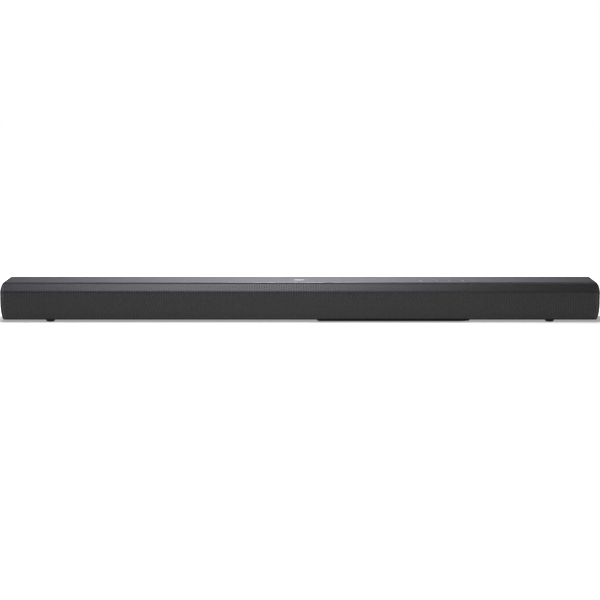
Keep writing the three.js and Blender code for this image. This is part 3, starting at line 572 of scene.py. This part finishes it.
def fibrous(name, colour, roughness, level):
    """Pressed paper pulp, with fibres in every direction."""
    material = new_material(name, colour, roughness, level=level)
    tangle = {"Vector": object_place(material), "Scale": 1 / (1.6 * MM), "Detail": 6.0, "Distortion": 2.5}
    fibres = node(material, "TexNoise", tangle).outputs["Fac"]
    tint = mix_colours(material, fibres, shade_of(colour, 0.5), shade_of(colour, 1.8))
    feed(material, "Base Color", tint)
    feed(material, "Roughness", spread(material, fibres, roughness - 0.1, roughness + 0.05))
    relief(material, fibres, depth=0.08)
    return material


MATERIALS = {
    "grille": painted("grille_paint", (0.0152, 0.0150, 0.0156), 0.41, level=0.54),
    "cover": moulded(
        "cover_plastic", (0.019, 0.019, 0.0205), 0.335, level=0.43,
        texture=0.6, depth=0.006, unevenness=0.04),
    "keys": moulded(
        "key_plastic", (0.018, 0.018, 0.0195), 0.33, level=0.43,
        texture=0.5, depth=0.005, unevenness=0.05),
    "cabinet": cabinet_moulding("cabinet_plastic", (0.019, 0.019, 0.020), 0.55),
    "end_caps": moulded("end_cap_plastic", (0.011, 0.011, 0.0115), 0.45, level=0.3, depth=0.01),
    "tray": moulded("tray_plastic", (0.010, 0.010, 0.0105), 0.5, level=0.2, texture=0.9),
    "badge": brushed("badge_metal", (0.62, 0.63, 0.65), 0.38, stretch=(0.06, 1, 1), size=0.35),
    "rubber": moulded("foot_rubber", (0.014, 0.014, 0.014), 0.8, level=0.3, texture=1.4, depth=0.05),
    "steel": plated("plated_steel", (0.27, 0.27, 0.285), 0.38),
    "dark_steel": plated("blackened_steel", (0.006, 0.006, 0.0065), 0.62, metallic=0.2, level=0.3),
    "board": circuit_board(
        "circuit_board", mask=(0.003, 0.022, 0.010), track=(0.007, 0.042, 0.018), pad=(0.42, 0.38, 0.28)),
    "socket": moulded("socket_plastic", (0.012, 0.012, 0.012), 0.45, texture=0.5, depth=0.008),
    "smoked": moulded("smoked_plastic", (0.003, 0.003, 0.003), 0.6, level=0.1, texture=2.5, depth=0.004),
    "ferrite": moulded(
        "ferrite_core", (0.035, 0.033, 0.032), 0.6, texture=0.9, depth=0.06, unevenness=0.3),
    "aluminium": brushed("bare_aluminium", (0.60, 0.61, 0.62), 0.4, stretch=(1, 0.05, 1)),
    "paper": fibrous("cone_paper", (0.004, 0.0038, 0.0036), 0.9, level=0.2),
    "surround": moulded("surround_rubber", (0.004, 0.004, 0.004), 0.7, level=0.15, texture=1.2),
    "cloth": woven("spider_cloth", (0.46, 0.28, 0.10), 0.9, pitch=0.9, depth=0.15),
    "silk": woven("dome_silk", (0.012, 0.012, 0.013), 0.7, pitch=0.4, depth=0.04),
    "cable": moulded("lead_insulation", (0.012, 0.012, 0.012), 0.5, texture=0.8, depth=0.01),
}
BLACK_BOARD = circuit_board(
    "black_board", mask=(0.002, 0.002, 0.002), track=(0.003, 0.003, 0.003), pad=(0.008, 0.007, 0.006))
GRILLE_CLOTH = woven("grille_cloth", (0.0230, 0.0227, 0.0238), 0.9, pitch=0.5, depth=0.04)
MARK_PAINT = moulded("key_mark_paint", (0.84, 0.85, 0.86), 0.5, texture=0.4, depth=0.004, unevenness=0.04)


# ---------------------------------------------------------------- casing

def grille_line():
    """The grille's section, from its lower edge over the crease to the top of the bevel."""
    rise = BEVEL_RISE - GAP
    top = (FRONT + rise * BEVEL_DEPTH / BEVEL_RISE, CREASE_HEIGHT + rise)
    return rounded_line([(FRONT, LIP_TOP + GAP), (FRONT, CREASE_HEIGHT, CREASE_RADIUS), top])


def grille_skin(line, depth):
    """A function that folds flat points into a skin, at a depth behind the grille's face."""
    def folded(flat):
        y, z, ny, nz = on_line(line, flat[:, 1])
        return np.column_stack([flat[:, 0], y - ny * depth, z - nz * depth])
    return folded


def build_grille():
    """The folded steel sheet, with every hole of its perforation."""
    line = grille_line()
    margin = WALL + GAP
    lowest = PLAIN_BORDER + HOLE_RADIUS
    highest = line[-1, 0] - lowest
    # The pitch is fitted, so that the plain borders above and below the holes are equally wide.
    pitch = (highest - lowest) / (round((highest - lowest) / HOLE_PITCH * 2) / 2)
    angles = np.arange(6) * math.pi / 3
    hexagon = HOLE_RADIUS * np.column_stack([np.cos(angles), np.sin(angles)])
    holes = []
    columns = int(HALF / COLUMN_STEP)
    for column in range(-columns, columns + 1):
        x = column * COLUMN_STEP
        first = lowest + (column % 2) * pitch / 2
        for along in np.arange(first, highest + pitch / 4, pitch):
            z = on_line(line, along)[1]
            if abs(x) + HOLE_RADIUS + PLAIN_BORDER < half_length(z, margin):
                holes.append(hexagon + (x, along))
    outline = fold_outline(line, margin, GRILLE_STEP)
    points, faces = plate(outline, holes, [], grille_skin(line, 0), grille_skin(line, SHEET))
    add_piece("grille_sheet", points, faces, MATERIALS["grille"], replaces=["front_grille"])


def build_grille_cloth():
    """The thin cloth behind the perforated sheet, which keeps dust out and hides the loudspeakers."""
    line = grille_line()
    margin = WALL + 2 * GAP
    face = SHEET + CLOTH["gap"]
    back = face + CLOTH["thickness"]
    outline = fold_outline(line, margin, GRILLE_STEP)
    bends = bend_lines(line, margin, GRILLE_STEP)
    points, faces = plate(outline, [], bends, grille_skin(line, face), grille_skin(line, back))
    add_piece("grille_cloth", points, faces, GRILLE_CLOTH)


def build_top_cover():
    """The top cover's plate with its rounded nose, key apertures and badge seat."""
    underside = HEIGHT - WALL
    least_wall = 0.05
    margin = WALL + GAP
    line = rounded_line([
        (NOSE_Y, underside), (NOSE_Y, HEIGHT, NOSE_RADIUS), (BACK, HEIGHT, REAR_RADIUS), (BACK, underside),
    ])

    def opening(size, corner, x, y):
        width, depth = size
        along = float(np.interp(y, line[:, 1], line[:, 0]))
        return rounded_rectangle(width + 2 * GAP, depth + 2 * GAP, corner + GAP) + (x, along)

    def top(flat):
        y, z, _, _ = on_line(line, flat[:, 1])
        return np.column_stack([flat[:, 0], y, z])

    def below(flat):
        points = top(flat)
        points[:, 2] = np.minimum(points[:, 2] - least_wall, underside)
        return points

    def seat_floor(flat):
        points = top(flat)
        points[:, 2] = HEIGHT - BADGE["seat"]
        return points

    outline = fold_outline(line, margin, COVER_STEP)
    bends = bend_lines(line, margin, COVER_STEP)
    keys = [opening(KEY_SIZE, KEY_CORNER, x, KEY_Y) for x in KEY_X.values()]
    seat = opening(BADGE["size"], BADGE["corner"], *BADGE["centre"])
    points, faces = plate(outline, keys, bends, top, below, [seat], seat_floor)
    add_piece("cover_plate", points, faces, MATERIALS["cover"], replaces=["top_cover"])


def casing_span(z):
    """The front and back of the casing's section at one height."""
    front = rounded_line([
        (0, BODY_BOTTOM), (FRONT, BODY_BOTTOM, LOWER_RADIUS), (FRONT, CREASE_HEIGHT, CREASE_RADIUS),
        (NOSE_Y, CREASE_HEIGHT + BEVEL_RISE, BEVEL_TOP_RADIUS), (NOSE_Y, HEIGHT, NOSE_RADIUS), (0, HEIGHT),
    ], steps=12)
    back = rounded_line([
        (0, BODY_BOTTOM), (BACK, BODY_BOTTOM, LOWER_RADIUS), (BACK, HEIGHT, REAR_RADIUS), (0, HEIGHT),
    ], steps=12)
    return [float(np.interp(z, line[:, 2], line[:, 1])) for line in (front, back)]


def cap_levels():
    """Heights for an end cap's rings, close together where its outline curves."""
    top_round = 2.2
    lowest = BODY_BOTTOM + LOWER_RADIUS * (1 - np.cos(np.linspace(0, math.pi / 2, 4)))
    lower_bow = np.arange(7.5, 30, 1.5)
    upright = np.arange(30, 44, 4)
    upper_bow = np.arange(44, 57.4, 0.9)
    highest = HEIGHT - top_round * (1 - np.sin(np.linspace(0, math.pi / 2, 8)))
    return np.unique(np.round(np.concatenate([lowest, lower_bow, upright, upper_bow, highest]), 3))


def build_end_cap(side, name):
    """One end cap: a wall that follows the end's outline, between the front and back of the casing."""
    rings = []
    for z in cap_levels():
        front, back = casing_span(z)
        outside = float(half_length(z))
        inside = outside - WALL
        flat = np.array([(inside, front), (outside, front), (outside, back), (inside, back)])
        ring = at_height(flat * (side, 1), z)
        rings.append(ring if side > 0 else ring[::-1])
    points, faces = loft(rings)
    add_piece(name + "_cap", points, faces, MATERIALS["end_caps"],
              replaces=[name + "_end_cap"], edge=CAP_EDGE)


# ---------------------------------------------------------------- back wall

def back_panel(outline, holes, front, back=BACK):
    """A flat panel between two depths, from outlines of (x, z) points."""
    def mirrored(points):
        return (np.asarray(points, float) * (-1, 1))[::-1]

    def skin(y):
        def placed(flat):
            return at_depth(flat * (-1, 1), y)
        return placed

    return plate(mirrored(outline), [mirrored(hole) for hole in holes], [], skin(back), skin(front))


def insert_outline(side, margin=0.0):
    """A rear insert's outline, drawn wider by a margin."""
    low, high = REAR_INSERT["low"], REAR_INSERT["high"]
    inner, outer = REAR_INSERT["inner"], REAR_INSERT["outer"]
    middle = (side * (inner + outer) / 2, (low + high) / 2)
    width, height = outer - inner + 2 * margin, high - low + 2 * margin
    return rounded_rectangle(width, height, REAR_INSERT["corner"] + margin) + middle


def wall_plate_outline(side, margin=0.0, corner=WALL_PLATE["corner"]):
    """A wall plate's outline, drawn wider by a margin."""
    width, height = WALL_PLATE["width"] + 2 * margin, WALL_PLATE["height"] + 2 * margin
    return rounded_rectangle(width, height, corner) + (side * WALL_PLATE["x"], WALL_PLATE["z"])


def keyhole(x, z):
    """A keyhole's outline about the middle of its round entry: the slot rises from the entry."""
    entry, slot = KEYHOLE["entry"], KEYHOLE["slot"]
    meet = math.degrees(math.asin(slot / entry))
    lower = np.radians(np.linspace(90 + meet, 450 - meet, 40))
    upper = np.radians(np.linspace(0, 180, 16))
    return np.concatenate([
        np.column_stack([x + entry * np.cos(lower), z + entry * np.sin(lower)]),
        np.column_stack([x + slot * np.cos(upper), z + KEYHOLE["rise"] + slot * np.sin(upper)]),
    ])


def insert_flange(side):
    """The flange that laps behind the cabinet, round the insert's opening."""
    lap = FLANGE["lap"]
    outline, window = insert_outline(side, lap), insert_outline(side, -lap)
    return back_panel(outline, [window], BACK - FLANGE["front"], BACK - WALL - GAP)


def flared_port(side):
    """The tube that the chamber breathes through, with its mouth flared at the back."""
    bore, mouth, front = PORT["bore"], PORT["mouth"], PORT["front"]
    outside = bore + PORT["wall"]
    tube = [
        (bore, front), (outside, front),
        (outside, BACK - 4), (mouth + 0.5, BACK - 2), (mouth, BACK - 0.02),
    ]
    flare = [(radius, BACK - depth) for radius, depth in PORT_FLARE]
    return turned_ring(tube + flare, (side * PORT["x"], PORT["z"]))


def wall_plate_cup(side):
    """The cup behind the wall plate, which leaves room for a screw's head."""
    lip, outside = CUP["lip"], CUP["margin"]
    inner_floor, rim = BACK - CUP["depth"], BACK - CUP["rim"]
    outer_floor = inner_floor - CUP["floor"]
    seat = BACK - WALL_PLATE["thickness"] - GAP
    section = [
        (-lip, inner_floor), (-lip, seat), (GAP, seat), (GAP, rim), (outside, rim), (outside, outer_floor),
    ]
    return loft([at_depth(wall_plate_outline(side, margin), y) for margin, y in section])


def build_rear_insert(side, name):
    """The moulding behind one chamber: its plate and flange, the flared port and the wall plate's cup."""
    mouth = circle(side * PORT["x"], PORT["z"], PORT["mouth"])
    seat = wall_plate_outline(side, GAP, WALL_PLATE["corner"] + GAP)
    panel = back_panel(insert_outline(side), [mouth, seat], BACK - REAR_INSERT["thickness"])
    points, faces = joined([panel, insert_flange(side), flared_port(side), wall_plate_cup(side)])
    add_piece(name + "_insert", points, faces, MATERIALS["cabinet"],
              replaces=[name + "_rear_insert"])


def build_wall_plate(side, name):
    """The steel plate with its keyhole, by which the bar hangs on a screw."""
    hole = keyhole(side * WALL_PLATE["x"], WALL_PLATE["z"] - KEYHOLE["drop"])
    points, faces = back_panel(wall_plate_outline(side), [hole], BACK - WALL_PLATE["thickness"])
    add_piece(name + "_keyhole_plate", points, faces, MATERIALS["steel"],
              replaces=[name + "_wall_plate"])


# ---------------------------------------------------------------- keys, badge and signs

def round_top(ring, radius, steps):
    """Rings that round the top edge of what ring draws at a margin and a height."""
    angles = np.linspace(0, math.pi / 2, steps)
    return [ring(radius * (math.cos(a) - 1), HEIGHT + radius * (math.sin(a) - 1)) for a in angles]


def build_key(name, x):
    """A key's cap, flange and stem in one moulding, with a shallow dish in its top."""
    width, depth = KEY_SIZE
    least_corner = 0.2

    def ring(margin, z):
        corner = max(KEY_CORNER + margin, least_corner)
        return at_height(rounded_rectangle(width + 2 * margin, depth + 2 * margin, corner) + (x, KEY_Y), z)

    def stem(z):
        radius = KEY_STEM["radius"]
        return at_height(rounded_rectangle(2 * radius, 2 * radius, radius) + (x, KEY_Y), z)

    wide = KEY_FLANGE["margin"]
    shoulder = HEIGHT - WALL - GAP
    neck = shoulder - KEY_FLANGE["thickness"]
    rings = [stem(KEY_STEM["foot"]), stem(neck), ring(wide, neck), ring(wide, shoulder), ring(0, shoulder)]
    rings += round_top(ring, KEY_EDGE, 6)
    rings += [ring(-inset, HEIGHT - sunk) for inset, sunk in KEY_DISH]
    points, faces = loft(rings)
    add_piece(name + "_cap", points, faces, MATERIALS["keys"], body=name, replaces=[name])


def build_badge():
    """A plain metal badge with softened edges and no marks."""
    width, depth = BADGE["size"]

    def ring(margin, z):
        corner = BADGE["corner"] + margin
        flat = rounded_rectangle(width + 2 * margin, depth + 2 * margin, corner, steps=8)
        return at_height(flat + BADGE["centre"], z)

    points, faces = loft([ring(0, HEIGHT - BADGE["thickness"]), *round_top(ring, BADGE["edge"], 4)])
    add_piece("badge_plate", points, faces, MATERIALS["badge"], replaces=["top_badge"])


def open_ring(radius, width, gap, steps=28):
    """A ring's outline with a gap at its top, of so many degrees."""
    angles = np.radians(np.linspace(90 + gap / 2, 450 - gap / 2, steps))
    unit = np.column_stack([np.cos(angles), np.sin(angles)])
    return np.concatenate([unit[::-1] * (radius - width / 2), unit * (radius + width / 2)])[::-1]


def arrow(length, half_head, head, half_shaft):
    """An arrow's outline that points along +X from the origin."""
    neck = length - head
    return [
        (0, -half_shaft), (neck, -half_shaft), (neck, -half_head), (length, 0),
        (neck, half_head), (neck, half_shaft), (0, half_shaft),
    ]


def build_key_marks():
    """The plain signs printed on the keys: power, minus, plus, and an arrow into a frame for source."""
    stroke, reach = MARK["stroke"], MARK["reach"]
    half = stroke / 2
    minus = bar(-reach, -half, reach, half)
    inner = reach - stroke
    frame_left, arrow_left = -0.2, -2.2
    into_frame = np.array(arrow(length=3, half_head=0.9, head=1.1, half_shaft=half)) + (arrow_left, 0)
    marks = {
        "power_key": [open_ring(reach - half, stroke, gap=70), bar(-half, 0.2, half, reach + 0.3)],
        "volume_down_key": [minus],
        "volume_up_key": [minus, bar(-half, half, half, reach), bar(-half, -reach, half, -half)],
        "source_key": [
            bar(frame_left, -reach, reach, -inner), bar(inner, -inner, reach, inner),
            bar(frame_left, inner, reach, reach), into_frame,
        ],
    }
    levels = HEIGHT - MARK["foot"], HEIGHT - MARK["sunk"]
    for key, outlines in marks.items():
        solids = []
        for outline in outlines:
            flat = np.asarray(outline, float) + (KEY_X[key], KEY_Y)
            solids.append(loft([at_height(flat, z) for z in levels]))
        points, faces = joined(solids)
        add_piece(key + "_mark", points, faces, MARK_PAINT, body=key)


# ---------------------------------------------------------------- CAD nodes

def soften(cad):
    """Merge a CAD node's flat facets, round its edges a little and shade it smooth."""
    weld = cad.modifiers.new("weld", "WELD")
    weld.merge_threshold = 0.001 * MM
    flats = cad.modifiers.new("flats", "DECIMATE")
    flats.decimate_type = "DISSOLVE"
    flats.angle_limit = math.radians(0.5)
    add_edges(cad, **CAD_EDGE)
    shade_smooth(cad.data)
    shade_flats(cad)


def dress_nodes():
    """Give every CAD node its slot's material and soft edges. The board behind the grille is black."""
    slots = {part["node"]: part["material_slot"] for part in frame["record"]["subparts"]}
    for name, cad in frame["nodes"].items():
        cad.data.materials.clear()
        cad.data.materials.append(BLACK_BOARD if name == "indicator_board" else MATERIALS[slots[name]])
        soften(cad)


build_grille()
build_grille_cloth()
build_top_cover()
for end_name, end_side in ENDS.items():
    build_end_cap(end_side, end_name)
for end_name, end_side in ENDS.items():
    build_rear_insert(end_side, end_name)
    build_wall_plate(end_side, end_name)
for key_name, key_x in KEY_X.items():
    build_key(key_name, key_x)
build_badge()
build_key_marks()
dress_nodes()


# ---------------------------------------------------------------- studio

def add_area_light(name, place, target, size, power, bell=None):
    """A soft rectangle of light, which fades to its left and right ends if a bell's width is given."""
    lamp = bpy.data.lights.new(name, "AREA")
    lamp.shape = "RECTANGLE"
    lamp.size, lamp.size_y = size
    lamp.energy = power
    lamp.color = LAMP_COLOUR
    if bell:
        fade_ends(lamp, size[0] / bell)
    light = bpy.data.objects.new(name, lamp)
    bpy.context.scene.collection.objects.link(light)
    light.location = place
    light.rotation_euler = (Vector(target) - Vector(place)).to_track_quat("-Z", "Y").to_euler()
    light.visible_camera = False


def fade_ends(lamp, steepness):
    """Give the light a bell-shaped brightness along its width."""
    lamp.use_nodes = True
    emission = lamp.node_tree.nodes["Emission"]
    place = node(lamp, "NewGeometry").outputs["Parametric"]
    across = node(lamp, "SeparateXYZ", {"Vector": place}).outputs["X"]
    offset = math_node(lamp, "MULTIPLY", math_node(lamp, "SUBTRACT", across, 0.5), steepness)
    squared = math_node(lamp, "MULTIPLY", offset, offset)
    bell = math_node(lamp, "EXPONENT", math_node(lamp, "MULTIPLY", squared, -0.5))
    lamp.node_tree.links.new(bell, emission.inputs["Strength"])


def build_floor():
    """A white table that glows a little near the bar and fully further away, so that it ends in white."""
    mesh = bpy.data.meshes.new("floor")
    half = FLOOR["half"]
    mesh.from_pydata([(x, y, 0) for x, y in bar(-half, -half, half, half)], [], [(0, 1, 2, 3)])
    white = new_material("floor_white", (0.858, 0.854, 0.783), 0.9, level=0.1)
    white.node_tree.nodes["Principled BSDF"].inputs["Emission Color"].default_value = (1, 1, 1, 1)
    distance = node(white, "VectorMath", {0: object_place(white)}, operation="LENGTH").outputs["Value"]
    glow = spread(white, distance, FLOOR["near_glow"], FLOOR["far_glow"], FLOOR["near"], FLOOR["far"])
    feed(white, "Emission Strength", glow)
    mesh.materials.append(white)
    floor = bpy.data.objects.new("floor", mesh)
    bpy.context.scene.collection.objects.link(floor)


def build_studio():
    """A white lit table and room, with soft lights above, behind and in front."""
    build_floor()
    world = bpy.data.worlds.new("studio")
    world.use_nodes = True
    world.node_tree.nodes["Background"].inputs["Color"].default_value = (1, 1, 1, 1)
    world.node_tree.nodes["Background"].inputs["Strength"].default_value = 1.0
    world.cycles_visibility.diffuse = False
    world.cycles_visibility.glossy = False
    bpy.context.scene.world = world
    for name, settings in LIGHTS.items():
        add_area_light(name, **settings)
    bpy.context.scene.view_settings.view_transform = "Standard"


def build_camera():
    """A long lens, a little above the bar and square to its middle."""
    data = bpy.data.cameras.new("camera")
    data.lens = CAMERA["lens"]
    data.sensor_width = 36
    data.clip_start, data.clip_end = 0.05, 60
    camera = bpy.data.objects.new("camera", data)
    bpy.context.scene.collection.objects.link(camera)
    camera.location = (0, FRONT * MM - CAMERA["distance"], CAMERA["height"])
    aim = Vector((0, 0, CAMERA["aim_height"]))
    camera.rotation_euler = (aim - camera.location).to_track_quat("-Z", "Y").to_euler()
    bpy.context.scene.camera = camera


build_studio()
build_camera()
